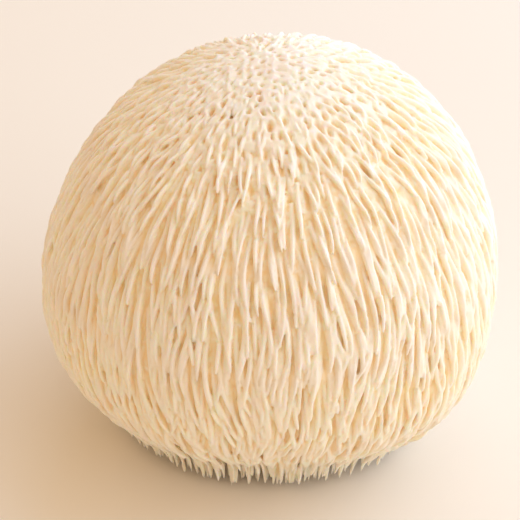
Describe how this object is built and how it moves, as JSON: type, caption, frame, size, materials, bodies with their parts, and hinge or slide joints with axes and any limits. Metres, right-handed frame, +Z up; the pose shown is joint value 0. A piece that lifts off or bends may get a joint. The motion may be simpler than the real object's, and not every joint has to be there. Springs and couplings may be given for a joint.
{
  "type": "lions mane mushroom",
  "caption": "Rounded pom-pom mushroom covered all over in soft hanging spines, standing on the flat cut where it was sliced from its log.",
  "frame": {"origin": "in the plane of the flat cut underneath, in the middle of the mushroom's width and depth", "axes": "+Z up from the cut to the crown; the picture looks along +Y and down"},
  "size_m": [0.1222, 0.1218, 0.1101],
  "materials": {
    "flesh": "soft matt cream, with golden tan between the spines"
  },
  "bodies": {
    "root": {"mushroom": "flesh"}
  },
  "joints": []
}
